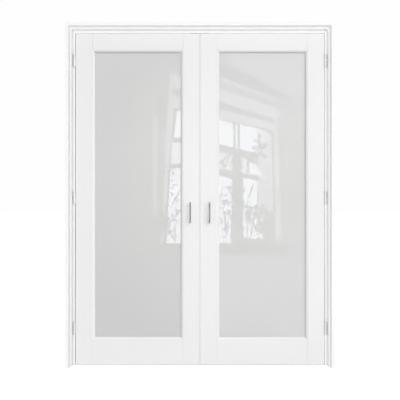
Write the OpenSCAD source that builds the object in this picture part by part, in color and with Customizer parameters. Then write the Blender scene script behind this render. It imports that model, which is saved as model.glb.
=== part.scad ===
// French doors: a pair of glazed doors hung in a stepped frame.
// Z is up, the fronts face -Y, and the origin lies on the floor at the middle of the unit.

/* [Doors] */
// Width of each door
door_w = 762; // [560:1:920]
// Height of each door
door_h = 2032; // [1650:1:2450]
// Thickness of each door
door_t = 35; // [35:0.5:45]
// Width of each stile
stile_w = 103; // [85:0.1:130]
// Height of the top rail
top_rail_h = 101.6; // [80:0.1:180]
// Height of the bottom rail
bottom_rail_h = 152.4; // [100:0.1:300]
// Gap between the two doors where they meet
meeting_gap = 3; // [2.5:0.1:5]
// Gap between each door and the frame, at its side and its top
edge_gap = 3; // [2.5:0.1:4]
// Gap beneath the doors
floor_gap = 5; // [3:0.5:20]

/* [Rail joints] */
// Length of the tenons on the rails
tenon_l = 50; // [30:1:55]
// Thickness of the tenons
tenon_t = 11; // [8:0.5:13]
// Distance that each tenon stands in from its rail's two edges
tenon_inset = 15; // [8:0.5:25]
// Clearance round each tenon
tenon_gap = 0.1; // [0.05:0.05:0.3]

/* [Glazing] */
// Width of the moulding round each pane
moulding_w = 14; // [10:0.5:20]
// Depth from the front of a door to its glass
moulding_d = 13; // [10:0.5:14]
// Step down from the door's face to the moulding's curve
quirk_d = 1.5; // [0.5:0.1:2.5]
// Width of the flat strip between the curve and the glass
fillet_w = 2; // [1:0.1:4]
// Height of that strip above the glass
fillet_d = 3; // [2:0.1:5]
// Thickness of the glass
glass_t = 5; // [4:0.5:8]
// Clearance round the edge of each pane
glass_edge_gap = 3; // [2:0.5:5]

/* [Frame] */
// Thickness of the frame's front lip
lip_t = 20; // [12:0.5:30]
// Width of the step behind the lip
first_step_w = 11; // [6:0.5:20]
// Width of the face beside the doors
reveal_w = 14; // [10:0.5:25]
// Depth of the front lip
lip_d = 31.5; // [20:0.5:60]
// Depth from the lip to the face beside the doors
first_step_d = 31.5; // [20:0.5:60]
// Thickness of the stops behind the doors
stop_t = 11; // [8:0.5:14]
// Depth of the stops
stop_d = 15; // [10:0.5:25]
// Gap between the doors and the stops, which the seals fill
seal_space = 3; // [2:0.1:5]
// Clearance between a seal and the door that shuts against it
seal_gap = 0.3; // [0.2:0.05:0.5]
// Width of the seals on the stops
seal_w = 7; // [5:0.5:8]

/* [Meeting seal] */
// Width of the seal's base in the door's edge
meeting_base_w = 5; // [4:0.5:8]
// Depth of that base
meeting_base_d = 3; // [2:0.5:5]
// Width of the pile
meeting_pile_w = 3; // [2:0.5:4]
// Height of the pile above the door's edge
meeting_pile_h = 1.6; // [1:0.1:2]

/* [Hinges] */
// Height of each hinge
hinge_h = 76.2; // [60:0.1:120]
// Diameter of the hinge barrels
barrel_d = 15; // [12.5:0.5:16]
// Diameter of the hinge pins
pin_d = 6; // [4:0.1:8]
// Radial clearance of a pin in its knuckles
pin_gap = 0.05; // [0.02:0.01:0.1]
// Gap between neighbouring knuckles
knuckle_gap = 0.3; // [0.2:0.05:0.5]
// Diameter of the button tips
tip_d = 12; // [9:0.5:14]
// Height of the button tips
tip_h = 2.4; // [1.5:0.1:4]
// Thickness of the leaves
leaf_t = 2.2; // [2:0.1:3]
// Width of each leaf on the wood
leaf_w = 31; // [24:0.5:34]
// Corner radius of the leaves
leaf_r = 6.35; // [2:0.05:12]
// Distance from the barrel to the door's face
barrel_stand = 0.5; // [0.3:0.1:2]
// Distance from a door's hinge edge out to the pin's axis
pin_out = 5; // [3:0.1:5.5]
// Distance from the top of a door down to the middle of its top hinge
top_hinge_drop = 168; // [120:1:250]
// Height of the middle hinge above half the door's height
middle_hinge_rise = 6; // [-60:1:60]
// Distance from the bottom of a door up to the middle of its bottom hinge
bottom_hinge_rise = 223.5; // [140:0.5:300]

/* [Pulls] */
// Diameter of the pull bars
pull_d = 8; // [7.5:0.1:14]
// Length of the pull bars
pull_l = 127; // [110:1:300]
// Distance between the posts of a pull
post_spacing = 96; // [64:1:100]
// Diameter of the posts
post_d = 7; // [6:0.1:7.4]
// Distance that a pull stands out from the door
pull_out = 32; // [28:1:50]
// Distance from a door's meeting edge to the middle of its pulls
pull_inset = 57.5; // [30:0.5:70]
// Height of the middle of the pulls above the bottom of the door
pull_rise = 932; // [800:1:1100]
// Diameter of the studs that join the front pull to the back one
stud_d = 4; // [3:0.1:5]
// Depth that a stud enters each post
stud_grip = 10; // [6:0.5:14]

/* [Catches] */
// Diameter of the catch balls
ball_d = 12; // [10:0.5:14]
// Depth that a ball enters its strike plate
ball_grip = 0.8; // [0.4:0.1:1.2]
// Clearance round a catch ball
ball_gap = 0.3; // [0.2:0.05:0.4]
// Outside diameter of the catch housings
housing_d = 16; // [15:0.1:20]
// Length of the catch housings
housing_l = 34; // [30:1:45]
// Diameter of the housing flanges
flange_d = 25; // [20:0.5:30]
// Thickness of the housing flanges
flange_t = 1.5; // [1:0.1:2]
// Distance from a door's meeting edge to the middle of its catch
catch_inset = 32; // [20:1:40]
// Wire diameter of the catch springs
wire_d = 1.2; // [0.8:0.1:1.6]
// Mean diameter of the catch springs
coil_d = 9; // [7:0.1:10]
// Turns in each catch spring
coil_turns = 6; // [4:1:9]

/* [Strike plates] */
// Length of each strike plate
strike_l = 44; // [36:1:60]
// Width of each strike plate
strike_w = 22; // [18:1:28]
// Thickness of the strike plates
strike_t = 1.6; // [1.2:0.1:2]
// Distance between the two screws of a strike plate
strike_screw_spacing = 30; // [24:1:44]

/* [Screws] */
// Diameter of the hinge screws' heads
hinge_screw_head_d = 8.4; // [7:0.1:9]
// Diameter of the hinge screws' shanks
hinge_screw_d = 4.4; // [3.5:0.1:5]
// Length of the hinge screws
hinge_screw_l = 22; // [16:1:28]
// Diameter of the strike screws' heads
strike_screw_head_d = 6; // [5:0.1:7]
// Diameter of the strike screws' shanks
strike_screw_d = 3; // [2.5:0.1:3.5]
// Length of the strike screws
strike_screw_l = 16; // [12:1:25]
// Diameter of the corner screws' heads
corner_screw_head_d = 9; // [8:0.1:11]
// Diameter of the corner screws' shanks
corner_screw_d = 5; // [4:0.1:6]
// Length of the corner screws
corner_screw_l = 70; // [60:1:90]

/* [Hidden] */
$fn = 48;
LEFT = -1;
RIGHT = 1;
SIDES = [LEFT, RIGHT];
HINGES = ["top", "middle", "bottom"];

// Colours
frame_white = "#f5f5f3";
door_white = "#ebecea";
stop_white = "#e2e3e1";
seal_grey = "#8d8f90";
satin_nickel = "#c6c7c5";
dark_nickel = "#77736c";
screw_steel = "#a9abab";
spring_steel = "#8f9496";
frosted_glass = "#d3d8dc";

// Margin by which a cut runs past the face that it opens
past = 1;
// Clearance round a leaf, plate or housing that is let into wood
let_in_gap = 0.1;
// Clearance round a screw or stud in its hole
screw_gap = 0.05;

// Frame section, measured in from its outer face and back from its front
jamb_t = lip_t + first_step_w + reveal_w;
recess_d = lip_d + first_step_d;
frame_d = recess_d + door_t + seal_space + stop_d;
overall_d = max(frame_d, recess_d + door_t + pull_out);
front_y = -overall_d / 2;
door_y = front_y + recess_d;

// Opening in the frame, and the frame round it
opening_w = 2 * door_w + meeting_gap + 2 * edge_gap;
opening_h = floor_gap + door_h + edge_gap;
frame_w = opening_w + 2 * jamb_t;
frame_h = opening_h + jamb_t;

// Daylight opening of a door, between its stiles and rails
light_w = door_w - 2 * stile_w;
light_h = door_h - top_rail_h - bottom_rail_h;
bead_d = door_t - moulding_d - glass_t;

// Hinges: places are measured from the pin's axis, with the wood on the +Y side
barrel_r = barrel_d / 2;
bore_r = pin_d / 2 + pin_gap;
pin_y = barrel_r + barrel_stand;
leaf_end = pin_y + leaf_w;
frame_leaf_x = pin_out - edge_gap - leaf_t;
knuckle_count = 5;
knuckle_h = (hinge_h - (knuckle_count - 1) * knuckle_gap) / knuckle_count;
knuckle_pitch = knuckle_h + knuckle_gap;
frame_knuckles = [0, 2, 4];
door_knuckles = [1, 3];
hinge_rises = [
    door_h - top_hinge_drop - hinge_h / 2,
    door_h / 2 + middle_hinge_rise - hinge_h / 2,
    bottom_hinge_rise - hinge_h / 2
];
// Hinge screws zigzag: share of the leaf's width, then share of its height
hinge_screw_shares = [[0.35, 0.17], [0.65, 0.5], [0.35, 0.83]];

// Catches: heights are measured from the top of a door
ball_r = ball_d / 2;
ball_z = edge_gap + ball_grip - ball_r;
ball_bore_r = ball_r + ball_gap;
mouth_r = sqrt(pow(ball_bore_r, 2) - pow(ball_z, 2));
housing_floor = 2;
coil_low_z = housing_floor - housing_l + wire_d / 2;
coil_high_z = ball_z - sqrt(pow(ball_bore_r + wire_d / 2, 2) - pow(coil_d / 2, 2));
strike_hole_r = sqrt(pow(ball_r, 2) - pow(ball_r - ball_grip, 2)) + 1.2;
strike_pocket_d = strike_t + 3;
strike_corner_r = 3;

// Screws: head diameter, shank diameter, length
hinge_screw = [hinge_screw_head_d, hinge_screw_d, hinge_screw_l];
strike_screw = [strike_screw_head_d, strike_screw_d, strike_screw_l];
corner_screw = [corner_screw_head_d, corner_screw_d, corner_screw_l];
// Depths of the corner screws behind the doors' front plane, as shares of the frame's depth there
corner_screw_shares = [0.2, 0.8];

// Parts that each door has, and that each side of the frame has
DOOR_PARTS = [
    "hinge_stile", "meeting_stile", "top_rail", "bottom_rail", "glass",
    "hinge_side_bead", "meeting_side_bead", "top_bead", "bottom_bead",
    "front_pull", "back_pull", "pull_studs",
    "catch_housing", "catch_spring", "catch_ball", "door_hinge_screws"
];
SIDE_PARTS = ["jamb", "stop", "stop_seal", "strike_plate"];
LEAVES = ["hinge_frame_leaf", "hinge_door_leaf"];
SINGLE_PARTS = [
    "head_jamb", "head_stop", "head_stop_seal", "meeting_seal", "hinge_pins",
    "frame_hinge_screws", "strike_screws", "corner_screws"
];
NODES = concat(
    SINGLE_PARTS,
    [for (side = SIDES) for (part = concat(SIDE_PARTS, DOOR_PARTS)) named(side, part)],
    [for (side = SIDES) for (hinge = HINGES) for (leaf = LEAVES) leaf_name(side, hinge, leaf)]
);
node = "all";

function named(side, part) = str(side == LEFT ? "left_" : "right_", part);
function leaf_name(side, hinge, leaf) = named(side, str(hinge, "_", leaf));
function wanted(name) = node == "all" || node == name;

// ---------------------------------------------------------------- shared shapes

// Everything is drawn for the left side, and the right side is its mirror image
module on_side(side) {
    if (side == RIGHT) mirror([1, 0, 0]) children();
    else children();
}

// A door's own corner: bottom of its hinge edge, on its front face
module in_door(side) {
    on_side(side) translate([-door_w - meeting_gap / 2, door_y, floor_gap]) children();
}

// A hinge's own corner: the pin's axis at the bottom of the lowest knuckle
module at_hinge(side, i) {
    in_door(side) translate([-pin_out, -pin_y, hinge_rises[i]]) children();
}

// A run along Z of a section drawn in X and Y, mitred where wanted so that it shortens with X
module run(length, reach, mitre_low, mitre_high) {
    deep = 2 * overall_d;
    intersection() {
        linear_extrude(length) children();
        translate([0, deep, 0]) rotate([90, 0, 0]) linear_extrude(2 * deep) polygon([
            [0, 0],
            [reach, mitre_low ? reach : 0],
            [reach, mitre_high ? length - reach : length],
            [0, length]
        ]);
    }
}

// Turns a run along Z into one along X that hangs down from where it starts
module hanging() {
    rotate([0, 90, 0]) children();
}

// Turns a run along Z into one along -X that stands up from where it starts
module standing() {
    rotate([0, -90, 0]) children();
}

// Section of the moulding: a quirk, a quarter-round and a fillet, with its back at depth d
module moulding_section(d) {
    round_w = moulding_w - fillet_w;
    round_d = moulding_d - quirk_d - fillet_d;
    steps = 8;
    polygon(concat(
        [[0, d], [0, quirk_d]],
        [for (i = [1:steps]) let (a = 90 * i / steps) [round_w * sin(a), quirk_d + round_d * (1 - cos(a))]],
        [[moulding_w, quirk_d + round_d], [moulding_w, d]]
    ));
}

// A flat outline with rounded corners, from its lower left corner
module rounded_plate(w, h, r) {
    translate([r, 0]) square([w - 2 * r, h]);
    translate([0, r]) square([w, h - 2 * r]);
    for (x = [r, w - r]) for (y = [r, h - r]) translate([x, y]) circle(r);
}

// A countersunk screw pointing along -Z with the top of its head at the origin
module screw(spec) {
    head_r = spec[0] / 2;
    shank_r = spec[1] / 2;
    length = spec[2];
    head_h = head_r - shank_r;
    slot_w = head_r / 5;
    slot_l = head_r * 1.2;
    slot_d = head_h * 0.7;
    difference() {
        rotate_extrude() polygon([
            [0, 0], [head_r, 0], [shank_r, -head_h], [shank_r, 3 * shank_r - length], [0, -length]
        ]);
        for (turn = [0, 90]) rotate(turn)
            translate([-slot_l / 2, -slot_w / 2, -slot_d]) cube([slot_l, slot_w, slot_d + past]);
    }
}

// The hole that takes such a screw, open at its top
module screw_hole(spec) {
    head_r = spec[0] / 2 + screw_gap;
    shank_r = spec[1] / 2 + screw_gap;
    head_h = head_r - shank_r;
    rotate_extrude() polygon([
        [0, past], [head_r, past], [head_r, 0], [shank_r, -head_h], [shank_r, -spec[2] - past], [0, -spec[2] - past]
    ]);
}

// ---------------------------------------------------------------- places of the fasteners

// Places and turns of one hinge's screws, on the frame's leaf
module at_frame_leaf_screws() {
    for (share = hinge_screw_shares)
        translate([frame_leaf_x + leaf_t, pin_y + share[0] * leaf_w, share[1] * hinge_h])
            rotate([0, 90, 0]) children();
}

// The same on the door's leaf
module at_door_leaf_screws() {
    for (share = hinge_screw_shares)
        translate([pin_out, pin_y + share[0] * leaf_w, share[1] * hinge_h])
            rotate([0, -90, 0]) children();
}

// Middle of each catch, on the frame's face above the door
module at_strike(side) {
    on_side(side)
        translate([-meeting_gap / 2 - catch_inset, door_y + door_t / 2, opening_h]) children();
}

// Places and turns of a strike plate's two screws
module at_strike_screws() {
    for (x = [-1, 1]) translate([x * strike_screw_spacing / 2, 0, 0]) rotate([180, 0, 0]) children();
}

// Places and turns of the screws through a jamb into the head
module at_corner_screws(side) {
    for (share = corner_screw_shares) on_side(side)
        translate([-frame_w / 2, door_y + share * (frame_d - recess_d), frame_h - jamb_t / 2])
            rotate([0, -90, 0]) children();
}

// ---------------------------------------------------------------- frame

// Section of the jambs and the head, from the outer front corner
module frame_section() {
    polygon([
        [0, 0],
        [lip_t, 0],
        [lip_t, lip_d],
        [lip_t + first_step_w, lip_d],
        [lip_t + first_step_w, recess_d],
        [jamb_t, recess_d],
        [jamb_t, frame_d],
        [0, frame_d]
    ]);
}

module jamb(side) {
    color(frame_white) difference() {
        on_side(side) translate([-frame_w / 2, front_y, 0])
            run(frame_h, jamb_t, false, true) frame_section();
        for (i = [0:len(HINGES) - 1]) at_hinge(side, i) {
            translate([frame_leaf_x, 0, 0]) leaf_blank(leaf_t + past, let_in_gap);
            at_frame_leaf_screws() screw_hole(hinge_screw);
        }
        at_corner_screws(side) screw_hole(corner_screw);
    }
}

module head_jamb() {
    color(frame_white) difference() {
        translate([-frame_w / 2, front_y, frame_h])
            hanging() run(frame_w, jamb_t, true, true) frame_section();
        for (side = SIDES) {
            at_strike(side) {
                translate([0, 0, -past]) linear_extrude(strike_t + past) strike_outline(let_in_gap);
                cylinder(r = strike_hole_r, h = strike_pocket_d);
                at_strike_screws() screw_hole(strike_screw);
            }
            at_corner_screws(side) screw_hole(corner_screw);
        }
    }
}

// The stops lie on the jambs' inner faces, and on the head's
module stop_section() {
    translate([0, frame_d - stop_d]) square([stop_t, stop_d]);
}

module stop(side) {
    color(stop_white) on_side(side) translate([-opening_w / 2, front_y, 0])
        run(opening_h, stop_t, false, true) stop_section();
}

module head_stop() {
    color(stop_white) translate([-opening_w / 2, front_y, opening_h])
        hanging() run(opening_w, stop_t, true, true) stop_section();
}

// The seals are strips on the stops' front faces, thinner at their two edges
module seal_section() {
    seal_t = seal_space - seal_gap;
    edge = seal_t / 3;
    back = frame_d - stop_d;
    polygon([
        [stop_t - seal_w, back],
        [stop_t - seal_w, back - seal_t + edge],
        [stop_t - seal_w + edge, back - seal_t],
        [stop_t - edge, back - seal_t],
        [stop_t, back - seal_t + edge],
        [stop_t, back]
    ]);
}

module stop_seal(side) {
    color(seal_grey) on_side(side) translate([-opening_w / 2, front_y, 0])
        run(opening_h, stop_t, false, true) seal_section();
}

module head_stop_seal() {
    color(seal_grey) translate([-opening_w / 2, front_y, opening_h])
        hanging() run(opening_w, stop_t, true, true) seal_section();
}

module corner_screws() {
    color(screw_steel) for (side = SIDES) at_corner_screws(side) screw(corner_screw);
}

// ---------------------------------------------------------------- doors

// The moulding is worked on the stiles' and rails' front edges, and mitred at the corners
module edge_moulding(length) {
    run(length, moulding_w, true, true) moulding_section(moulding_d);
}

// Tenons on a rail of the given height, or the mortises for them with a clearance
module tenons(rail_h, gap) {
    long = light_w + 2 * tenon_l + 2 * gap;
    translate([door_w / 2 - long / 2, door_t / 2 - tenon_t / 2 - gap, tenon_inset - gap])
        cube([long, tenon_t + 2 * gap, rail_h - 2 * tenon_inset + 2 * gap]);
}

module all_mortises() {
    tenons(bottom_rail_h, tenon_gap);
    translate([0, 0, door_h - top_rail_h]) tenons(top_rail_h, tenon_gap);
}

module hinge_stile(side) {
    color(door_white) in_door(side) difference() {
        union() {
            cube([stile_w, door_t, door_h]);
            translate([stile_w, 0, bottom_rail_h]) edge_moulding(light_h);
        }
        all_mortises();
        for (rise = hinge_rises) translate([-pin_out, -pin_y, rise]) {
            translate([pin_out - past, 0, 0]) leaf_blank(leaf_t + past, let_in_gap);
            at_door_leaf_screws() screw_hole(hinge_screw);
        }
    }
}

// A catch's hole is drilled after the door is glued up, through a tenon's end if one is in the way
module catch_hole() {
    translate([door_w - catch_inset, door_t / 2, door_h]) {
        translate([0, 0, -housing_l]) cylinder(d = housing_d + 2 * let_in_gap, h = housing_l + past);
        translate([0, 0, -flange_t]) cylinder(d = flange_d + 2 * let_in_gap, h = flange_t + past);
    }
}

module meeting_stile(side) {
    color(door_white) in_door(side) difference() {
        union() {
            translate([door_w - stile_w, 0, 0]) cube([stile_w, door_t, door_h]);
            translate([door_w - stile_w, 0, bottom_rail_h]) mirror([1, 0, 0]) edge_moulding(light_h);
        }
        all_mortises();
        at_pull_posts() cylinder(d = stud_d + 2 * screw_gap, h = door_t + 2 * past);
        catch_hole();
        if (side == LEFT) meeting_groove();
    }
}

module top_rail(side) {
    color(door_white) in_door(side) difference() {
        translate([0, 0, door_h - top_rail_h]) {
            translate([stile_w, 0, 0]) cube([light_w, door_t, top_rail_h]);
            tenons(top_rail_h, 0);
            translate([stile_w, 0, 0]) hanging() edge_moulding(light_w);
        }
        catch_hole();
    }
}

module bottom_rail(side) {
    color(door_white) in_door(side) {
        translate([stile_w, 0, 0]) cube([light_w, door_t, bottom_rail_h]);
        tenons(bottom_rail_h, 0);
        translate([door_w - stile_w, 0, bottom_rail_h]) standing() edge_moulding(light_w);
    }
}

module glass(side) {
    color(frosted_glass, 0.6) in_door(side)
        translate([stile_w + glass_edge_gap, moulding_d, bottom_rail_h + glass_edge_gap])
            cube([light_w - 2 * glass_edge_gap, glass_t, light_h - 2 * glass_edge_gap]);
}

// The beads hold the glass from behind, and show the same section as the front moulding
module bead(length) {
    translate([0, door_t, 0]) mirror([0, 1, 0])
        run(length, moulding_w, true, true) moulding_section(bead_d);
}

module hinge_side_bead(side) {
    color(door_white) in_door(side) translate([stile_w, 0, bottom_rail_h]) bead(light_h);
}

module meeting_side_bead(side) {
    color(door_white) in_door(side) translate([door_w - stile_w, 0, bottom_rail_h])
        mirror([1, 0, 0]) bead(light_h);
}

module top_bead(side) {
    color(door_white) in_door(side) translate([stile_w, 0, door_h - top_rail_h]) hanging() bead(light_w);
}

module bottom_bead(side) {
    color(door_white) in_door(side) translate([door_w - stile_w, 0, bottom_rail_h])
        standing() bead(light_w);
}

// The groove and the seal in the left door's meeting edge
module meeting_groove() {
    translate([door_w - meeting_base_d, door_t / 2 - meeting_base_w / 2, -past])
        cube([meeting_base_d + past, meeting_base_w, door_h + 2 * past]);
}

module meeting_seal() {
    color(seal_grey) in_door(LEFT) {
        translate([door_w - meeting_base_d, door_t / 2 - meeting_base_w / 2, 0])
            cube([meeting_base_d, meeting_base_w, door_h]);
        translate([door_w - past, door_t / 2 - meeting_pile_w / 2, 0])
            cube([past + meeting_pile_h, meeting_pile_w, door_h]);
    }
}

// ---------------------------------------------------------------- hinges

// A leaf's plate, or the recess for it with a clearance, from the pin's axis back over the wood
module leaf_blank(thick, gap) {
    high = hinge_h + 2 * gap;
    end = leaf_end + gap;
    translate([0, 0, -gap]) rotate([90, 0, 90]) linear_extrude(thick) {
        square([end - leaf_r, high]);
        translate([0, leaf_r]) square([end, high - 2 * leaf_r]);
        for (z = [leaf_r, high - leaf_r]) translate([end - leaf_r, z]) circle(leaf_r);
    }
}

// A leaf with its own knuckles, cut clear of the other leaf's
module leaf(x, own, other) {
    difference() {
        union() {
            difference() {
                translate([x, 0, 0]) leaf_blank(leaf_t, 0);
                for (i = other) translate([0, 0, i * knuckle_pitch - knuckle_gap])
                    cylinder(r = barrel_r + knuckle_gap, h = knuckle_h + 2 * knuckle_gap);
            }
            for (i = own) translate([0, 0, i * knuckle_pitch]) cylinder(r = barrel_r, h = knuckle_h);
        }
        translate([0, 0, -past]) cylinder(r = bore_r, h = hinge_h + 2 * past);
        children();
    }
}

module hinge_frame_leaf(side, i) {
    color(satin_nickel) at_hinge(side, i) leaf(frame_leaf_x, frame_knuckles, door_knuckles)
        at_frame_leaf_screws() screw_hole(hinge_screw);
}

module hinge_door_leaf(side, i) {
    color(satin_nickel) at_hinge(side, i) leaf(pin_out, door_knuckles, frame_knuckles)
        at_door_leaf_screws() screw_hole(hinge_screw);
}

// A button tip: a short neck under a low dome
module pin_tip() {
    neck = tip_h / 3;
    rise = tip_h - neck;
    steps = 6;
    rotate_extrude() polygon(concat(
        [[0, 0], [tip_d / 2, 0], [tip_d / 2, neck]],
        [for (i = [1:steps - 1]) let (a = 90 * i / steps) [tip_d / 2 * cos(a), neck + rise * sin(a)]],
        [[0, tip_h]]
    ));
}

module hinge_pins() {
    color(satin_nickel) for (side = SIDES) for (i = [0:len(HINGES) - 1]) at_hinge(side, i) {
        cylinder(d = pin_d, h = hinge_h);
        translate([0, 0, hinge_h]) pin_tip();
        mirror([0, 0, 1]) pin_tip();
    }
}

module frame_hinge_screws() {
    color(screw_steel) for (side = SIDES) for (i = [0:len(HINGES) - 1]) at_hinge(side, i)
        at_frame_leaf_screws() screw(hinge_screw);
}

module door_hinge_screws(side) {
    color(screw_steel) for (i = [0:len(HINGES) - 1]) at_hinge(side, i)
        at_door_leaf_screws() screw(hinge_screw);
}

// ---------------------------------------------------------------- pulls

// Axis of each post, from just in front of the door's face towards its back
module at_pull_posts() {
    for (z = [-1, 1])
        translate([door_w - pull_inset, -past, pull_rise + z * post_spacing / 2])
            rotate([-90, 0, 0]) children();
}

// A bar on two posts, with a threaded hole in each for the stud
module pull() {
    bar_y = pull_d / 2 - pull_out;
    ease = 0.8;
    difference() {
        union() {
            translate([0, bar_y, -pull_l / 2]) rotate_extrude() polygon([
                [0, 0],
                [pull_d / 2 - ease, 0],
                [pull_d / 2, ease],
                [pull_d / 2, pull_l - ease],
                [pull_d / 2 - ease, pull_l],
                [0, pull_l]
            ]);
            for (z = [-1, 1]) translate([0, 0, z * post_spacing / 2]) rotate([90, 0, 0])
                cylinder(d = post_d, h = -bar_y);
        }
        for (z = [-1, 1]) translate([0, past, z * post_spacing / 2]) rotate([90, 0, 0])
            cylinder(d = stud_d + 2 * screw_gap, h = past + stud_grip + 2);
    }
}

module front_pull(side) {
    color(dark_nickel) in_door(side) translate([door_w - pull_inset, 0, pull_rise]) pull();
}

module back_pull(side) {
    color(dark_nickel) in_door(side)
        translate([door_w - pull_inset, door_t, pull_rise]) mirror([0, 1, 0]) pull();
}

module pull_studs(side) {
    color(screw_steel) in_door(side) at_pull_posts() translate([0, 0, past - stud_grip])
        cylinder(d = stud_d, h = door_t + 2 * stud_grip);
}

// ---------------------------------------------------------------- catches

// Middle of a door's catch, on its top edge
module in_catch(side) {
    in_door(side) translate([door_w - catch_inset, door_t / 2, door_h]) children();
}

// A flanged cup whose mouth is narrower than the ball that it holds
module catch_housing(side) {
    color(satin_nickel) in_catch(side) difference() {
        union() {
            translate([0, 0, -housing_l]) cylinder(d = housing_d, h = housing_l);
            translate([0, 0, -flange_t]) cylinder(d = flange_d, h = flange_t);
        }
        translate([0, 0, housing_floor - housing_l])
            cylinder(r = ball_bore_r, h = housing_l - housing_floor - flange_t);
        translate([0, 0, -flange_t]) cylinder(r1 = ball_bore_r, r2 = mouth_r, h = flange_t);
        cylinder(r = mouth_r, h = past);
    }
}

module catch_ball(side) {
    color(satin_nickel) in_catch(side) translate([0, 0, ball_z]) sphere(ball_r);
}

// One ring of the spring's wire at angle a along the coil, as points
function wire_ring(a, z, sides) = [
    for (i = [0:sides - 1]) let (
        b = 360 * i / sides,
        r = coil_d / 2 + wire_d / 2 * cos(b)
    ) [r * cos(a), r * sin(a), z + wire_d / 2 * sin(b)]
];

module catch_spring(side) {
    sides = 8;
    turn_steps = 18;
    rings = coil_turns * turn_steps;
    rise = coil_high_z - coil_low_z;
    points = [
        for (k = [0:rings]) each wire_ring(360 * k / turn_steps, coil_low_z + rise * k / rings, sides)
    ];
    walls = [
        for (k = [0:rings - 1]) for (i = [0:sides - 1]) let (
            a = k * sides + i,
            b = k * sides + (i + 1) % sides
        ) each [[a, b, b + sides], [a, b + sides, a + sides]]
    ];
    low_end = [for (i = [sides - 1:-1:0]) i];
    high_end = [for (i = [0:sides - 1]) rings * sides + i];
    color(spring_steel) in_catch(side) polyhedron(points, concat(walls, [low_end, high_end]));
}

module strike_outline(gap) {
    w = strike_l + 2 * gap;
    h = strike_w + 2 * gap;
    translate([-w / 2, -h / 2]) rounded_plate(w, h, strike_corner_r);
}

module strike_plate(side) {
    color(satin_nickel) at_strike(side) difference() {
        linear_extrude(strike_t) strike_outline(0);
        translate([0, 0, -past]) cylinder(r = strike_hole_r, h = strike_t + 2 * past);
        at_strike_screws() screw_hole(strike_screw);
    }
}

module strike_screws() {
    color(screw_steel) for (side = SIDES) at_strike(side) at_strike_screws() screw(strike_screw);
}

// ---------------------------------------------------------------- the unit

if (wanted("head_jamb")) head_jamb();
if (wanted("head_stop")) head_stop();
if (wanted("head_stop_seal")) head_stop_seal();
if (wanted("meeting_seal")) meeting_seal();
if (wanted("hinge_pins")) hinge_pins();
if (wanted("frame_hinge_screws")) frame_hinge_screws();
if (wanted("strike_screws")) strike_screws();
if (wanted("corner_screws")) corner_screws();
for (side = SIDES) {
    if (wanted(named(side, "jamb"))) jamb(side);
    if (wanted(named(side, "stop"))) stop(side);
    if (wanted(named(side, "stop_seal"))) stop_seal(side);
    if (wanted(named(side, "strike_plate"))) strike_plate(side);
    if (wanted(named(side, "hinge_stile"))) hinge_stile(side);
    if (wanted(named(side, "meeting_stile"))) meeting_stile(side);
    if (wanted(named(side, "top_rail"))) top_rail(side);
    if (wanted(named(side, "bottom_rail"))) bottom_rail(side);
    if (wanted(named(side, "glass"))) glass(side);
    if (wanted(named(side, "hinge_side_bead"))) hinge_side_bead(side);
    if (wanted(named(side, "meeting_side_bead"))) meeting_side_bead(side);
    if (wanted(named(side, "top_bead"))) top_bead(side);
    if (wanted(named(side, "bottom_bead"))) bottom_bead(side);
    if (wanted(named(side, "front_pull"))) front_pull(side);
    if (wanted(named(side, "back_pull"))) back_pull(side);
    if (wanted(named(side, "pull_studs"))) pull_studs(side);
    if (wanted(named(side, "catch_housing"))) catch_housing(side);
    if (wanted(named(side, "catch_spring"))) catch_spring(side);
    if (wanted(named(side, "catch_ball"))) catch_ball(side);
    if (wanted(named(side, "door_hinge_screws"))) door_hinge_screws(side);
    for (i = [0:len(HINGES) - 1]) {
        if (wanted(leaf_name(side, HINGES[i], "hinge_frame_leaf"))) hinge_frame_leaf(side, i);
        if (wanted(leaf_name(side, HINGES[i], "hinge_door_leaf"))) hinge_door_leaf(side, i);
    }
}
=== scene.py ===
import math
import random

import bmesh
import bpy
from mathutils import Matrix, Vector


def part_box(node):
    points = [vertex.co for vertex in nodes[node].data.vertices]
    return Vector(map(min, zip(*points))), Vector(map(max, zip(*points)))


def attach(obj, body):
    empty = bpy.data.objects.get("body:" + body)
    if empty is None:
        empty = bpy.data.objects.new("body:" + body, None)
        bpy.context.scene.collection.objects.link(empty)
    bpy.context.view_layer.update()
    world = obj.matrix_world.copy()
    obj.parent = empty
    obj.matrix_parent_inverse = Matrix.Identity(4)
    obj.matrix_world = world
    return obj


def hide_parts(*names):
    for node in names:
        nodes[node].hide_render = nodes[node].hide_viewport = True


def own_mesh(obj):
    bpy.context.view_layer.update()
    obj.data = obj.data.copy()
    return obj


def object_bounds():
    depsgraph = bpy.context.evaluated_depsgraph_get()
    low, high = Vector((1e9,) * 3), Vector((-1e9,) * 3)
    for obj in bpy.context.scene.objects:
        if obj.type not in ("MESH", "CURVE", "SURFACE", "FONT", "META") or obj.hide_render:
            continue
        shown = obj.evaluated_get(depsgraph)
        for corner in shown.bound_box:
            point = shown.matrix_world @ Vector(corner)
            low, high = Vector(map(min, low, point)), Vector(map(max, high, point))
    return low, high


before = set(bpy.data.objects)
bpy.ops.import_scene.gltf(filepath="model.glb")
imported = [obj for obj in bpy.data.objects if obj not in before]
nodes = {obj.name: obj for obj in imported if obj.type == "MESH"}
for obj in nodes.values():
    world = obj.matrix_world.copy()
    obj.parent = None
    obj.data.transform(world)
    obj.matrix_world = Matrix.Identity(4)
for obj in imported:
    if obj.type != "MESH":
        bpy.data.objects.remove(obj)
cad_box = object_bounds()
scene = bpy.context.scene


# ---------------------------------------------------------------- jambs and head
# Two jambs and a head of softwood, each planed to the same stepped section and mitred at the
# top corners. They are sprayed with white satin enamel before the doors are hung.

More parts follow.
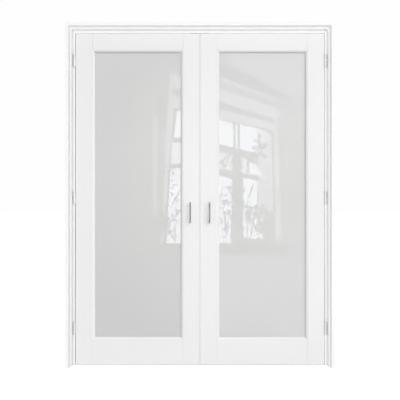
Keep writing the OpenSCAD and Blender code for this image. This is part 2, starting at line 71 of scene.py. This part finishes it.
MM = 0.001
SIDES = ("left", "right")
FRAME_WHITE = (0.95, 0.95, 0.948)
FRAME_EDGE = 1.0 * MM
UP_THE_GRAIN = (260, 260, 5)
ACROSS_THE_GRAIN = (5, 260, 260)
PAINT_GLOSS = 0.3
PAINT_RELIEF = 0.15
PAINT_DEPTH = 0.03 * MM
SHARP_TURN = math.radians(40)
ONE_POINT = 0.002 * MM
POINT_GRID = 0.01 * MM


def new_effect(name, inputs):
    """A node group with these (name, kind, default) inputs: its tree, and its inner ends."""
    tree = bpy.data.node_groups.new(name, "ShaderNodeTree")
    for label, kind, default in inputs:
        socket = tree.interface.new_socket(label, in_out="INPUT", socket_type=kind)
        socket.default_value = default
    tree.interface.new_socket("Colour", in_out="OUTPUT", socket_type="NodeSocketColor")
    tree.interface.new_socket("Roughness", in_out="OUTPUT", socket_type="NodeSocketFloat")
    tree.interface.new_socket("Height", in_out="OUTPUT", socket_type="NodeSocketFloat")
    return tree, tree.nodes.new("NodeGroupInput"), tree.nodes.new("NodeGroupOutput")


def hand_on(tree, out, colour, rough, height):
    """Joins an effect's three results to the group's way out."""
    tree.links.new(colour, out.inputs["Colour"])
    tree.links.new(rough, out.inputs["Roughness"])
    tree.links.new(height, out.inputs["Height"])


def feed(tree, socket, value):
    """Sets a socket to a number, or joins another socket to it."""
    if isinstance(value, (int, float)):
        socket.default_value = value
    else:
        tree.links.new(value, socket)


def noise(tree, vector, scale, detail=2.0, rough=0.5):
    """A noise texture read at the given vector: a socket for its value."""
    node = tree.nodes.new("ShaderNodeTexNoise")
    node.inputs["Detail"].default_value = detail
    node.inputs["Roughness"].default_value = rough
    tree.links.new(vector, node.inputs["Vector"])
    feed(tree, node.inputs["Scale"], scale)
    return node.outputs["Fac"]


def maths(tree, operation, first, second):
    """A math node on two sockets or numbers: a socket for its result."""
    node = tree.nodes.new("ShaderNodeMath")
    node.operation = operation
    feed(tree, node.inputs[0], first)
    feed(tree, node.inputs[1], second)
    return node.outputs["Value"]


def blended(tree, first, second, share):
    """Two values added, with this share of the first and the rest of the second."""
    part = maths(tree, "MULTIPLY", first, share)
    rest = maths(tree, "MULTIPLY", second, 1 - share)
    return maths(tree, "ADD", part, rest)


def remap(tree, value, old, new):
    """A map-range node that takes the old (low, high) to the new, clamped: a socket."""
    node = tree.nodes.new("ShaderNodeMapRange")
    for label, number in zip(("From Min", "From Max", "To Min", "To Max"), (*old, *new)):
        feed(tree, node.inputs[label], number)
    tree.links.new(value, node.inputs["Value"])
    return node.outputs["Result"]


def mixed(tree, factor, first, second):
    """A mix of two colour sockets by a factor socket: a socket for the result."""
    node = tree.nodes.new("ShaderNodeMix")
    node.data_type = "RGBA"
    tree.links.new(factor, node.inputs["Factor"])
    tree.links.new(first, node.inputs[6])
    tree.links.new(second, node.inputs[7])
    return node.outputs[2]


def tinted(tree, colour, tint):
    """A colour socket multiplied by a fixed tint: a socket for the result."""
    node = tree.nodes.new("ShaderNodeMix")
    node.data_type = "RGBA"
    node.blend_type = "MULTIPLY"
    node.inputs["Factor"].default_value = 1.0
    tree.links.new(colour, node.inputs[6])
    node.inputs[7].default_value = (*tint, 1.0)
    return node.outputs[2]


def stretched(tree, stretch):
    """Object coordinates scaled by a vector socket, and the plain ones beside them."""
    coords = tree.nodes.new("ShaderNodeTexCoord").outputs["Object"]
    node = tree.nodes.new("ShaderNodeVectorMath")
    node.operation = "MULTIPLY"
    tree.links.new(coords, node.inputs[0])
    tree.links.new(stretch, node.inputs[1])
    return node.outputs["Vector"], coords


def make_paint_film():
    """Enamel: faint lap marks along the grain, the spray's fine peel, and slow drifts of tone."""
    tree, given, out = new_effect(
        "paint film",
        [
            ("Colour", "NodeSocketColor", (0.9, 0.9, 0.9, 1)),
            ("Grain", "NodeSocketVector", (60, 60, 2)),
            ("Peel", "NodeSocketFloat", 420),
            ("Smooth", "NodeSocketFloat", 0.34),
            ("Dull", "NodeSocketFloat", 0.46),
        ],
    )
    grain, coords = stretched(tree, given.outputs["Grain"])
    lap = noise(tree, grain, scale=1.0, detail=5.0, rough=0.6)
    peel = noise(tree, coords, given.outputs["Peel"], detail=1.0)
    drift = noise(tree, coords, scale=2.3, detail=3.0)
    lap_marks = remap(tree, lap, old=(0.3, 0.7), new=(0.0, 1.0))
    patches = remap(tree, drift, old=(0.35, 0.65), new=(0.2, 1.0))
    shade = tinted(tree, given.outputs["Colour"], (0.985, 0.985, 0.982))
    colour = mixed(tree, maths(tree, "MULTIPLY", lap_marks, patches), given.outputs["Colour"], shade)
    gloss = (given.outputs["Smooth"], given.outputs["Dull"])
    rough = remap(tree, maths(tree, "ADD", lap, drift), old=(0.7, 1.3), new=gloss)
    hand_on(tree, out, colour, rough, blended(tree, lap, peel, share=0.35))
    return tree


def new_material(name):
    """A material with one principled shader: the material, its tree and the shader."""
    material = bpy.data.materials.new(name)
    material.use_nodes = True
    tree = material.node_tree
    shader = next(node for node in tree.nodes if node.type == "BSDF_PRINCIPLED")
    return material, tree, shader


def finished(name, effect, settings, relief, depth, sockets):
    """A material that takes its colour, roughness and relief from an effect with these settings."""
    material, tree, shader = new_material(name)
    group = tree.nodes.new("ShaderNodeGroup")
    group.node_tree = effect
    for label, value in settings.items():
        group.inputs[label].default_value = value
    bump = tree.nodes.new("ShaderNodeBump")
    bump.inputs["Strength"].default_value = relief
    bump.inputs["Distance"].default_value = depth
    tree.links.new(group.outputs["Colour"], shader.inputs["Base Color"])
    tree.links.new(group.outputs["Roughness"], shader.inputs["Roughness"])
    tree.links.new(group.outputs["Height"], bump.inputs["Height"])
    tree.links.new(bump.outputs["Normal"], shader.inputs["Normal"])
    for label, value in sockets.items():
        shader.inputs[label].default_value = value
    return material


def painted(name, colour, grain):
    """Enamel of this colour, brushed out along the grain."""
    settings = {"Colour": (*colour, 1), "Grain": grain}
    gloss = {"Specular IOR Level": PAINT_GLOSS}
    return finished(name, paint_film, settings, PAINT_RELIEF, PAINT_DEPTH, gloss)


def ends(corners):
    """An edge's two corners on a fine grid, in either order."""
    return frozenset(tuple(round(number / POINT_GRID) for number in corner) for corner in corners)


def soften(node, width, shortest=40 * MM):
    """Rounds the long sharp edges of a node, as sanding and paint do."""
    piece = nodes[node]
    mesh = piece.data
    joined = bmesh.new()
    joined.from_mesh(mesh)
    bmesh.ops.remove_doubles(joined, verts=joined.verts, dist=ONE_POINT)
    chosen = {
        ends(corner.co for corner in edge.verts)
        for edge in joined.edges
        if len(edge.link_faces) == 2
        and edge.calc_length() > shortest
        and edge.calc_face_angle() > SHARP_TURN
    }
    joined.free()
    weights = mesh.attributes.new("bevel_weight_edge", "FLOAT", "EDGE")
    for edge in mesh.edges:
        corners = ends(mesh.vertices[index].co for index in edge.vertices)
        weights.data[edge.index].value = float(corners in chosen)
    weld = piece.modifiers.new("joined corners", "WELD")
    weld.merge_threshold = ONE_POINT
    bevel = piece.modifiers.new("soft edges", "BEVEL")
    bevel.width = width
    bevel.segments = 2
    bevel.limit_method = "WEIGHT"
    bevel.use_clamp_overlap = False
    bevel.harden_normals = True


def dress(node, material):
    """Gives a node its finish."""
    piece = nodes[node]
    piece.data.materials.clear()
    piece.data.materials.append(material)


paint_film = make_paint_film()
jamb_paint = painted("jamb_paint", FRAME_WHITE, UP_THE_GRAIN)
head_paint = painted("head_paint", FRAME_WHITE, ACROSS_THE_GRAIN)
for side in SIDES:
    dress(side + "_jamb", jamb_paint)
    soften(side + "_jamb", FRAME_EDGE)
dress("head_jamb", head_paint)
soften("head_jamb", FRAME_EDGE)


# ---------------------------------------------------------------- stops
# Square strips pinned behind the doors, on the jambs and under the head. They are painted with
# the frame, and the doors shut against the seals on them.

STOP_WHITE = (0.93, 0.93, 0.928)

stop_paint = painted("stop_paint", STOP_WHITE, UP_THE_GRAIN)
head_stop_paint = painted("head_stop_paint", STOP_WHITE, ACROSS_THE_GRAIN)
for side in SIDES:
    dress(side + "_stop", stop_paint)
    soften(side + "_stop", FRAME_EDGE)
dress("head_stop", head_stop_paint)
soften("head_stop", FRAME_EDGE)


# ---------------------------------------------------------------- seals
# Grey foam strips with a soft skin, stuck to the stops, and a strip of woven pile let into the
# left door's meeting edge.

FOAM_GREY = (0.42, 0.425, 0.43)
PILE_GREY = (0.5, 0.5, 0.5)
PILE_NAP = (400, 3000, 3000)


def make_soft_skin():
    """Foam or pile: a fine random nap, slightly paler where it is rubbed."""
    tree, given, out = new_effect(
        "soft skin",
        [
            ("Colour", "NodeSocketColor", (0.4, 0.4, 0.4, 1)),
            ("Nap", "NodeSocketVector", (1500, 1500, 900)),
        ],
    )
    nap, coords = stretched(tree, given.outputs["Nap"])
    fibre = noise(tree, nap, scale=1.0, detail=3.0)
    rubbed = noise(tree, coords, scale=9.0)
    pale = tinted(tree, given.outputs["Colour"], (1.25, 1.25, 1.25))
    worn = remap(tree, maths(tree, "MULTIPLY", fibre, rubbed), old=(0.2, 0.4), new=(0.0, 1.0))
    colour = mixed(tree, worn, given.outputs["Colour"], pale)
    rough = remap(tree, fibre, old=(0.3, 0.7), new=(0.75, 0.95))
    hand_on(tree, out, colour, rough, fibre)
    return tree


soft_skin = make_soft_skin()
seal_foam = finished(
    "seal_foam", soft_skin, {"Colour": (*FOAM_GREY, 1)}, relief=0.5, depth=0.2 * MM, sockets={}
)
seal_pile = finished(
    "seal_pile", soft_skin, {"Colour": (*PILE_GREY, 1), "Nap": PILE_NAP},
    relief=0.9, depth=0.4 * MM, sockets={"Sheen Weight": 0.3},
)
for node in ("left_stop_seal", "right_stop_seal", "head_stop_seal"):
    dress(node, seal_foam)
dress("meeting_seal", seal_pile)


# ---------------------------------------------------------------- screws and studs
# Countersunk wood screws of zinc-plated steel hold the frame's corners, the hinges and the
# strike plates. The studs between the pulls are the same steel.

METAL_RELIEF = 0.25
METAL_DEPTH = 0.03 * MM


def make_drawn_metal():
    """Metal with fine scratches along one direction, which roughen it and break up its tone."""
    tree, given, out = new_effect(
        "drawn metal",
        [
            ("Colour", "NodeSocketColor", (0.6, 0.6, 0.6, 1)),
            ("Scratch", "NodeSocketVector", (2500, 2500, 30)),
            ("Smooth", "NodeSocketFloat", 0.25),
            ("Dull", "NodeSocketFloat", 0.42),
        ],
    )
    lines, coords = stretched(tree, given.outputs["Scratch"])
    scratch = noise(tree, lines, scale=1.0, detail=4.0, rough=0.7)
    stain = noise(tree, coords, scale=45.0, detail=3.0)
    both = blended(tree, scratch, stain, share=0.6)
    middle = (0.35, 0.65)
    dark = tinted(tree, given.outputs["Colour"], (0.82, 0.81, 0.8))
    colour = mixed(tree, remap(tree, both, middle, new=(0.0, 1.0)), given.outputs["Colour"], dark)
    gloss = (given.outputs["Smooth"], given.outputs["Dull"])
    hand_on(tree, out, colour, remap(tree, both, middle, gloss), scratch)
    return tree


def metal(name, colour, scratch, smooth, dull):
    """A bare or plated metal, scratched along one direction, from smooth to dull."""
    settings = {"Colour": (*colour, 1), "Scratch": scratch, "Smooth": smooth, "Dull": dull}
    return finished(name, drawn_metal, settings, METAL_RELIEF, METAL_DEPTH, {"Metallic": 1.0})


drawn_metal = make_drawn_metal()
zinc = metal("zinc_plate", (0.62, 0.63, 0.62), (600, 600, 600), smooth=0.28, dull=0.45)
for node in ("corner_screws", "frame_hinge_screws", "strike_screws"):
    dress(node, zinc)
for side in SIDES:
    dress(side + "_door_hinge_screws", zinc)
    dress(side + "_pull_studs", zinc)


# ---------------------------------------------------------------- hinges
# Six butt hinges of pressed steel, plated in satin nickel, with button-tipped pins. Their leaves
# are let in flush, so that only the barrels show when the doors are shut.

HINGES = ("top", "middle", "bottom")

satin_nickel = metal("satin_nickel", (0.75, 0.745, 0.735), (1800, 1800, 60), smooth=0.58, dull=0.7)
for side in SIDES:
    for hinge in HINGES:
        for leaf in ("frame", "door"):
            dress(f"{side}_{hinge}_hinge_{leaf}_leaf", satin_nickel)
dress("hinge_pins", satin_nickel)


# ---------------------------------------------------------------- stiles and rails
# Each door is four members of engineered timber, tenoned and glued, with the moulding worked on
# their front edges. The eased shoulders leave a hairline groove between stile and rail.

DOOR_WHITE = (0.785, 0.785, 0.784)
DOOR_EDGE = 1.3 * MM

stile_paint = painted("stile_paint", DOOR_WHITE, UP_THE_GRAIN)
rail_paint = painted("rail_paint", DOOR_WHITE, ACROSS_THE_GRAIN)


def paint_door(upright, level, edge):
    """Paints these upright and level pieces of both doors, and softens their edges."""
    for side in SIDES:
        for paint, group in ((stile_paint, upright), (rail_paint, level)):
            for node in group:
                dress(f"{side}_{node}", paint)
                soften(f"{side}_{node}", edge)


paint_door(("hinge_stile", "meeting_stile"), ("top_rail", "bottom_rail"), DOOR_EDGE)


# ---------------------------------------------------------------- panes
# One sheet of float glass in each door. Its back is acid-etched, which lets light through but no
# view, and its front is polished, so that the room shows in it.

GLASS_TINT = (0.655, 0.656, 0.656)
GLASS_EDGE = 0.5 * MM
POLISHED_FRONT = {
    "Transmission Weight": 0.25,
    "IOR": 1.5,
    "Coat Weight": 1.0,
    "Coat Roughness": 0.015,
    "Coat IOR": 1.52,
}


def make_etching():
    """Acid etching: an even frost with a very fine grain and the faintest cloudiness."""
    tree, given, out = new_effect(
        "etching",
        [
            ("Colour", "NodeSocketColor", (0.6, 0.6, 0.6, 1)),
            ("Grain", "NodeSocketVector", (1200, 1200, 1200)),
        ],
    )
    fine, coords = stretched(tree, given.outputs["Grain"])
    grain = noise(tree, fine, scale=1.0)
    cloud = noise(tree, coords, scale=1.6, detail=3.0)
    pale = tinted(tree, given.outputs["Colour"], (1.04, 1.04, 1.035))
    cloudy = remap(tree, cloud, old=(0.3, 0.7), new=(0.0, 1.0))
    colour = mixed(tree, cloudy, given.outputs["Colour"], pale)
    hand_on(tree, out, colour, remap(tree, grain, old=(0.3, 0.7), new=(0.5, 0.62)), grain)
    return tree


etching = make_etching()
frosted_glass = finished(
    "frosted_glass", etching, {"Colour": (*GLASS_TINT, 1)},
    relief=0.15, depth=0.05 * MM, sockets=POLISHED_FRONT,
)
for side in SIDES:
    dress(side + "_glass", frosted_glass)
    soften(side + "_glass", GLASS_EDGE)


# ---------------------------------------------------------------- glazing beads
# Four mitred beads behind each pane, cut to the same curve as the moulding in front and pinned
# to the stiles and rails.

BEAD_EDGE = 0.4 * MM

paint_door(("hinge_side_bead", "meeting_side_bead"), ("top_bead", "bottom_bead"), BEAD_EDGE)


# ---------------------------------------------------------------- pulls
# Slim round bars on two posts, drawn from stainless rod and plated in dark nickel. The back one
# is the twin of the front one.

dark_nickel = metal("dark_nickel", (0.3, 0.285, 0.27), (2200, 2200, 25), smooth=0.2, dull=0.36)
for side in SIDES:
    for node in ("front_pull", "back_pull"):
        dress(f"{side}_{node}", dark_nickel)


# ---------------------------------------------------------------- ball catches
# A flanged cup in the top of each meeting stile holds a steel ball on a spring. The ball clicks
# into the hole of a strike plate in the head.

STRIKE_EDGE = 0.25 * MM

ball_steel = metal("ball_steel", (0.66, 0.66, 0.67), (300, 300, 300), smooth=0.08, dull=0.16)
for side in SIDES:
    dress(side + "_strike_plate", satin_nickel)
    soften(side + "_strike_plate", STRIKE_EDGE, shortest=8 * MM)
    dress(side + "_catch_housing", satin_nickel)
    dress(side + "_catch_ball", ball_steel)


# ---------------------------------------------------------------- catch springs
# A coil of round spring wire stands in each cup and pushes the ball up. The real one shortens as the
# ball is pressed down; this coil is drawn at one length.

WIRE_R = 0.6 * MM
WIRE_SIDES = 10
TURNS = 6
TURN_STEPS = 24

spring_wire = metal("spring_wire", (0.5, 0.51, 0.52), (900, 900, 900), smooth=0.2, dull=0.32)


def coil(name, node):
    """A coil of wire that fills the box of the node that it stands for."""
    foot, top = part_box(node)
    middle = (foot + top) / 2
    coil_r = (top.x - foot.x) / 2 - WIRE_R
    rise = top.z - foot.z - 2 * WIRE_R
    rings = TURNS * TURN_STEPS
    corners = []
    for ring in range(rings + 1):
        turn = math.tau * ring / TURN_STEPS
        wire_z = foot.z + WIRE_R + rise * ring / rings
        for corner in range(WIRE_SIDES):
            lean = math.tau * corner / WIRE_SIDES
            reach = coil_r + WIRE_R * math.cos(lean)
            x = middle.x + reach * math.cos(turn)
            y = middle.y + reach * math.sin(turn)
            corners.append((x, y, wire_z + WIRE_R * math.sin(lean)))
    faces = []
    for ring in range(rings):
        near = ring * WIRE_SIDES
        far = near + WIRE_SIDES
        for corner in range(WIRE_SIDES):
            after = (corner + 1) % WIRE_SIDES
            faces.append((near + corner, far + corner, far + after, near + after))
    low_end = range(WIRE_SIDES)
    high_end = range(rings * WIRE_SIDES, (rings + 1) * WIRE_SIDES)
    faces.append(tuple(low_end))
    faces.append(tuple(reversed(high_end)))
    mesh = bpy.data.meshes.new(name)
    mesh.from_pydata(corners, [], faces)
    mesh.polygons.foreach_set("use_smooth", [len(face) == 4 for face in faces])
    mesh.materials.append(spring_wire)
    piece = bpy.data.objects.new(name, mesh)
    scene.collection.objects.link(piece)
    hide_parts(node)
    return piece


for side in SIDES:
    spring = coil(side + "_spring_coil", side + "_catch_spring")
    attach(spring, side + "_door")
    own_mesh(spring)


# ---------------------------------------------------------------- floor and surround
# A matt pale floor under an even white surround. Both look brighter to the eye than they light
# the doors, so that the whites of the doors keep their shading.

FLOOR_REACH = 40
SURROUND_LIGHT = 0.52
SURROUND_SEEN = 0.99
FLOOR_LIGHT = 0.05
FLOOR_SEEN = 0.55


def flat(name, corners, material):
    """A stage polygon from its corners in order."""
    mesh = bpy.data.meshes.new(name)
    mesh.from_pydata(corners, [], [tuple(range(len(corners)))])
    mesh.materials.append(material)
    piece = bpy.data.objects.new(name, mesh)
    scene.collection.objects.link(piece)
    return piece


def by_ray(tree, light, seen):
    """A strength that is one number as light on the pieces, and another seen directly: a socket."""
    ray = tree.nodes.new("ShaderNodeLightPath")
    return remap(tree, ray.outputs["Is Camera Ray"], old=(0, 1), new=(light, seen))


pale_floor, tree, shader = new_material("pale_floor")
shader.inputs["Base Color"].default_value = (0.9, 0.9, 0.9, 1)
shader.inputs["Roughness"].default_value = 0.9
shader.inputs["Emission Color"].default_value = (1, 1, 1, 1)
tree.links.new(by_ray(tree, FLOOR_LIGHT, FLOOR_SEEN), shader.inputs["Emission Strength"])
square = ((-1, -1), (1, -1), (1, 1), (-1, 1))
flat("floor", [(x * FLOOR_REACH, y * FLOOR_REACH, 0) for x, y in square], pale_floor)

world = bpy.data.worlds.new("studio")
world.use_nodes = True
scene.world = world
tree = world.node_tree
surround = tree.nodes["Background"]
surround.inputs["Color"].default_value = (1, 1, 1, 1)
tree.links.new(by_ray(tree, SURROUND_LIGHT, SURROUND_SEEN), surround.inputs["Strength"])


# ---------------------------------------------------------------- lamps
# Three soft lamps. A key shines on the doors from high on the right, and a straight fill on the
# frame, so that neither casts a hard shadow on the other. A rear lamp lights every piece's back.


def soft_lamp(name, power, spread, toward, receivers):
    """A broad soft lamp that is flagged off everything but its receivers."""
    data = bpy.data.lights.new(name, "SUN")
    data.energy = power
    data.angle = math.radians(spread)
    lamp = bpy.data.objects.new(name, data)
    lamp.rotation_euler = Vector(toward).to_track_quat("-Z", "Y").to_euler()
    scene.collection.objects.link(lamp)
    lit = bpy.data.collections.new("lit by " + name)
    for node in receivers:
        lit.objects.link(nodes[node])
    lamp.light_linking.receiver_collection = lit
    lamp.light_linking.blocker_collection = lit


frame_endings = ("jamb", "stop", "seal", "leaf", "hinge_pins")
frame_nodes = [name for name in nodes if name.endswith(frame_endings)]
door_nodes = [name for name in nodes if name not in frame_nodes]
soft_lamp("key", power=1.97, spread=50, toward=(-0.42, 0.78, -0.46), receivers=door_nodes)
soft_lamp("frame_fill", power=1.6, spread=60, toward=(0, 1, 0.1), receivers=frame_nodes)
soft_lamp("back_fill", power=1.1, spread=90, toward=(0.35, -0.9, -0.35), receivers=list(nodes))


# ---------------------------------------------------------------- room in the glass
# The polished fronts of the panes mirror a tall casement with plants on its sill. It is a set of
# flat glowing cards behind the viewer that only reflections can see.

CARD_Y = -6.0
LAYER_GAP = 0.01
SKY = (0.92, 0.945, 1.0)
GREY = (0.985, 0.99, 1.0)
WARM = (1.0, 0.965, 0.74)
GREEN = (0.96, 1.0, 0.965)


def glow(name, colour, strength):
    """A card's own light, a little uneven, as a plain material."""
    material, tree, shader = new_material(name)
    shader.inputs["Base Color"].default_value = (0, 0, 0, 1)
    shader.inputs["Specular IOR Level"].default_value = 0
    shader.inputs["Emission Color"].default_value = (*colour, 1)
    coords = tree.nodes.new("ShaderNodeTexCoord").outputs["Object"]
    clouds = noise(tree, coords, scale=2.2, detail=3.0)
    uneven = remap(tree, clouds, old=(0.3, 0.7), new=(strength * 0.9, strength * 1.1))
    tree.links.new(uneven, shader.inputs["Emission Strength"])
    return material


def mirrored_only(piece):
    """Hides a stage piece from everything but reflections."""
    for kind in ("camera", "diffuse", "transmission", "shadow", "volume_scatter"):
        setattr(piece, "visible_" + kind, False)


def card(name, colour, strength, layer, corners):
    """A glowing polygon with its corners in X and Z; higher layers stand nearer to the doors."""
    place = [(x, CARD_Y + LAYER_GAP * layer, z) for x, z in corners]
    mirrored_only(flat("room_" + name, place, glow("room_" + name, colour, strength)))


# The walls with two pale streaks on them, the ceiling, and the room's own floor
card("wall", GREY, 0.65, 0, [(-9, -2.5), (9, -2.5), (9, 7), (-9, 7)])
card("wall_right", GREY, 1.25, 1, [(-0.2, -2.5), (9, -2.5), (9, 7), (-0.2, 7)])
card("ceiling", GREY, 1.75, 2, [
    (0.39, 4.2), (0.66, 3.49), (1.15, 3.16), (1.53, 2.97), (9, 2.0), (9, 4.2),
])
card("wall_beside", WARM, 1.5, 2, [(1.5, 2.64), (2.0, 2.6), (2.0, 0.35), (1.53, 0.35)])
card("wall_left", WARM, 1.0, 2, [(-1.25, 3.3), (-0.4, 3.3), (-0.4, 0), (-1.25, 0)])
card("streak", GREY, 1.9, 3, [(-0.87, 2.57), (-0.78, 2.57), (-0.78, 0.76), (-0.87, 0.76)])
card("thin_streak", GREY, 1.6, 3, [(-0.68, 2.34), (-0.61, 2.34), (-0.61, 1.75), (-0.68, 1.75)])
room_floor_z = 0.004
room_floor_edge = ((0, -0.6), (6, -0.6), (6, -5.9), (0, -5.9))
room_floor_corners = [(x, y, room_floor_z) for x, y in room_floor_edge]
mirrored_only(flat("room_floor", room_floor_corners, glow("room_floor", GREY, 1.6)))

# The cornice over the window: its card glows dim as painted shade, and its lip glows bright as a
# painted highlight
card("cornice", GREY, 0.6, 2, [
    (-0.2, 3.75), (0.39, 3.56), (0.92, 3.34), (1.53, 3.01), (1.53, 2.86), (-0.2, 3.49),
])
card("cornice_lip", GREY, 2.2, 3, [
    (-0.2, 3.49), (0.35, 3.29), (1.42, 2.89), (1.42, 2.84), (0.35, 3.23), (-0.2, 3.43),
])

# The casement: its casing, the recess under its head, which glows dim as painted shade, its sashes,
# its sill and a thin curtain
card("casing", GREEN, 2.7, 4, [(-0.55, 3.36), (0.35, 3.06), (1.42, 2.71), (1.5, 0.28), (-0.74, -0.13)])
card("head_recess", GREY, 0.9, 5, [
    (-0.52, 3.08), (0.35, 2.81), (1.37, 2.51), (1.37, 2.42), (0.35, 2.68), (-0.48, 2.94),
])
card("sash", WARM, 1.0, 5, [
    (-0.48, 2.71), (0.35, 2.49), (1.22, 2.33), (1.35, 2.29), (1.39, 0.28), (-0.7, 0.05),
])
card("sill", WARM, 0.7, 6, [(-0.74, 0.22), (1.55, 0.26), (1.66, -0.02), (-0.92, -0.13)])
card("curtain", GREY, 3.0, 6, [(1.05, 2.33), (1.22, 2.29), (1.31, 2.23), (1.35, 0.79), (1.07, 0.87)])

# The sky in its panes, with a thin bar in front of it
card("pane_top_left", SKY, 6.6, 7, [(-0.2, 2.62), (0.61, 2.42), (0.61, 1.98), (-0.2, 2.16)])
card("pane_top_slit", SKY, 5.5, 7, [(0.65, 2.41), (0.69, 2.4), (0.69, 1.96), (0.65, 1.97)])
card("pane_top_right", SKY, 6.4, 7, [(0.73, 2.4), (1.04, 2.33), (1.05, 1.88), (0.73, 1.94)])
card("pane_veiled_top", SKY, 4.3, 7, [(1.04, 2.33), (1.2, 2.28), (1.21, 1.85), (1.05, 1.88)])
card("pane_second_left", SKY, 4.6, 7, [(-0.2, 2.01), (0.59, 1.85), (0.59, 1.55), (-0.2, 1.68)])
card("pane_second_slit", SKY, 4.8, 7, [(0.76, 1.79), (0.86, 1.77), (0.86, 1.49), (0.76, 1.51)])
card("pane_second_right", SKY, 6.2, 7, [(0.9, 1.71), (1.03, 1.67), (1.15, 1.46), (0.9, 1.49)])
card("pane_low_left", SKY, 6.2, 7, [(-0.2, 1.6), (0.59, 1.4), (0.57, 0.22), (-0.2, 0.22)])
card("pane_low_right", SKY, 6.5, 7, [(0.79, 1.42), (1.05, 1.37), (1.05, 0.89), (0.79, 0.92)])
card("pane_low_right_foot", SKY, 5.8, 7, [(0.79, 0.89), (1.18, 0.81), (1.15, 0.29), (0.79, 0.33)])
card("pane_far_top", SKY, 6.6, 7, [(-0.42, 2.64), (-0.22, 2.64), (-0.22, 2.16), (-0.48, 2.16)])
card("pane_far_second", SKY, 5.4, 7, [(-0.5, 2.07), (-0.22, 2.07), (-0.22, 1.68), (-0.54, 1.68)])
card("pane_far_low", SKY, 6.6, 7, [(-0.54, 1.6), (-0.22, 1.6), (-0.22, 0.22), (-0.61, 0.22)])
card("bar", WARM, 2.5, 8, [(0.85, 1.0), (0.88, 1.0), (0.88, 0.3), (0.85, 0.3)])

# Plants: leaves scattered round crooked stems, thick in the pots and thin at the tips
PLANT_Y = CARD_Y + 0.12
LEAF_SIDES = 6
LEAF_LONG = (0.025, 0.055)
LEAF_WIDE = (0.012, 0.024)
STEM_R = 0.016
shuffle = random.Random(7)
leaf_corners = []
leaf_faces = []


def leaf(x, z, long, wide, turn):
    """Adds one flat leaf or stem: its middle, its two half sizes and its turn."""
    first = len(leaf_corners)
    for step in range(LEAF_SIDES):
        angle = math.tau * step / LEAF_SIDES
        along = long * math.cos(angle)
        across = wide * math.sin(angle)
        leaf_x = x + along * math.cos(turn) - across * math.sin(turn)
        leaf_z = z + along * math.sin(turn) + across * math.cos(turn)
        leaf_corners.append((leaf_x, PLANT_Y, leaf_z))
    leaf_faces.append(tuple(range(first, first + LEAF_SIDES)))


def bush(x, z, across, up, leaves):
    """Scatters leaves round a middle, with this spread across and up."""
    for _ in range(leaves):
        leaf_x = shuffle.gauss(x, across)
        leaf_z = shuffle.gauss(z, up)
        long = shuffle.uniform(*LEAF_LONG)
        wide = shuffle.uniform(*LEAF_WIDE)
        leaf(leaf_x, leaf_z, long, wide, shuffle.uniform(0, math.pi))


def stem(x, z, tip_x, tip_z):
    """Adds a straight stem from its foot to its tip."""
    half = math.hypot(tip_x - x, tip_z - z) / 2
    leaf((x + tip_x) / 2, (z + tip_z) / 2, half, STEM_R, math.atan2(tip_z - z, tip_x - x))


bush(0.68, 0.95, across=0.06, up=0.36, leaves=150)
bush(0.36, 1.0, across=0.12, up=0.14, leaves=30)
bush(0.42, 0.6, across=0.1, up=0.22, leaves=26)
bush(0.98, 0.76, across=0.13, up=0.08, leaves=70)
bush(1.14, 0.6, across=0.07, up=0.16, leaves=45)
bush(1.08, 2.04, across=0.06, up=0.1, leaves=26)
bush(0.4, 1.72, across=0.12, up=0.06, leaves=14)
bush(0.98, 1.8, across=0.1, up=0.04, leaves=24)
bush(-0.66, 0.6, across=0.05, up=0.1, leaves=60)
bush(-0.48, 0.9, across=0.05, up=0.35, leaves=24)
stem(-0.28, 1.31, -0.55, 0.87)
stem(-0.28, 0.93, -0.6, 0.52)
stem(-0.61, 0.53, -0.44, 0.24)
stem(-0.46, 0.6, -0.46, 0.25)
stem(0.5, 0.3, 0.42, 0.9)
stem(0.55, 0.25, 0.62, 0.8)
stem(0.92, 0.3, 0.98, 0.7)
stem(1.0, 1.35, 0.86, 1.0)
stem(0.2, 1.5, 0.55, 1.9)
plant_mesh = bpy.data.meshes.new("room_plants")
plant_mesh.from_pydata(leaf_corners, [], leaf_faces)
plant_mesh.materials.append(glow("room_plants", (0.93, 1.0, 0.7), 0.7))
plants = bpy.data.objects.new("room_plants", plant_mesh)
scene.collection.objects.link(plants)
mirrored_only(plants)


# ---------------------------------------------------------------- camera
# The doors are seen square on from three metres, at about half their height.

VIEW_DISTANCE = 3.0
VIEW_HEIGHT = 1.0146
LENS = 43.97
SENSOR = 36

low, high = cad_box
door_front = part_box("left_hinge_stile")[0].y
camera_data = bpy.data.cameras.new("camera")
camera_data.sensor_width = SENSOR
camera_data.lens = LENS
camera = bpy.data.objects.new("camera", camera_data)
camera.location = ((low.x + high.x) / 2, door_front - VIEW_DISTANCE, VIEW_HEIGHT)
camera.rotation_euler = (math.radians(90), 0, 0)
scene.collection.objects.link(camera)
scene.camera = camera
scene.view_settings.view_transform = "Standard"
